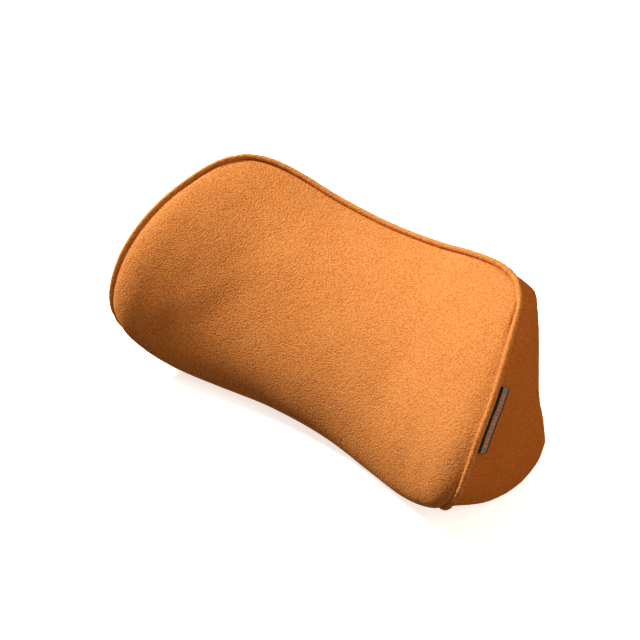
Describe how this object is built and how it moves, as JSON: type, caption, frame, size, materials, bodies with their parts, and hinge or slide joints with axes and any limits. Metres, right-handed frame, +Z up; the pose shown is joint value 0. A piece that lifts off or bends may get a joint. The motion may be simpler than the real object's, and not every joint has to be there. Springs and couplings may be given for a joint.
{
  "type": "chair headrest cushion",
  "caption": "Strap-on headrest cushion with a waisted, winged front panel piped all round, a wedge-shaped foam body, a zipped cover and a buckled webbing strap.",
  "frame": {"origin": "middle of the cushion's flat back face, which lies against the chair", "axes": "+X along the cushion, +Y out of its back towards the chair, +Z up"},
  "size_m": [0.3293, 0.1746, 0.1604],
  "materials": {
    "foam": "moulded memory foam, fine open cells",
    "liner": "thin knitted liner",
    "suede": "pebbled microsuede, soft and matt",
    "suede_side": "the same microsuede on the sides and back",
    "cord": "twisted cotton filler cord",
    "label": "woven damask label with a plain dash pattern",
    "zip_tape": "woven zip tape",
    "zip_teeth": "nylon coil",
    "zip_metal": "satin nickel",
    "buckle_plastic": "moulded acetal, fine matt grain",
    "webbing": "woven elastic webbing"
  },
  "bodies": {
    "cushion": {"foam_core": "foam", "foam_liner": "liner", "front_panel": "suede", "top_gusset": "suede_side", "bottom_gusset": "suede_side", "end_gusset_right": "suede_side", "end_gusset_left": "suede_side", "back_panel": "suede_side", "piping_cover": "suede", "piping_cord": "cord", "label_tag": "label", "zip_tape_upper": "zip_tape", "zip_tape_lower": "zip_tape", "zip_teeth_upper": "zip_teeth", "zip_teeth_lower": "zip_teeth", "zip_top_stop_upper": "zip_metal", "zip_top_stop_lower": "zip_metal", "zip_bottom_stop": "zip_metal", "buckle_socket": "buckle_plastic", "buckle_plug": "buckle_plastic", "strap_right": "webbing", "strap_left": "webbing"},
    "slider": {"zip_slider": "zip_metal"},
    "pull": {"zip_pull": "zip_metal"},
    "prong_upper": {"buckle_prong_upper": "buckle_plastic"},
    "prong_lower": {"buckle_prong_lower": "buckle_plastic"},
    "adjuster": {"strap_adjuster": "buckle_plastic"}
  },
  "joints": [
    {"name": "zip_slide", "type": "slide", "parent": "cushion", "child": "slider", "axis": [-1, 0, 0], "range_m": [0, 0.176]},
    {"name": "zip_pull_hinge", "type": "hinge", "parent": "slider", "child": "pull", "pos_m": [0.091, 0.0034, -0.03], "axis": [0, 0, -1], "range_deg": [0, 165]},
    {"name": "prong_upper_squeeze", "type": "hinge", "parent": "cushion", "child": "prong_upper", "pos_m": [0.0205, 0.031, 0.0133], "axis": [0, -1, 0], "range_deg": [0, 7], "stiffness_Nm_per_rad": 1.2},
    {"name": "prong_lower_squeeze", "type": "hinge", "parent": "cushion", "child": "prong_lower", "pos_m": [0.0205, 0.031, -0.0133], "axis": [0, 1, 0], "range_deg": [0, 7], "stiffness_Nm_per_rad": 1.2},
    {"name": "adjuster_slide", "type": "slide", "parent": "cushion", "child": "adjuster", "axis": [0.9425, -0.3341, 0], "range_m": [-0.008, 0.01]}
  ]
}
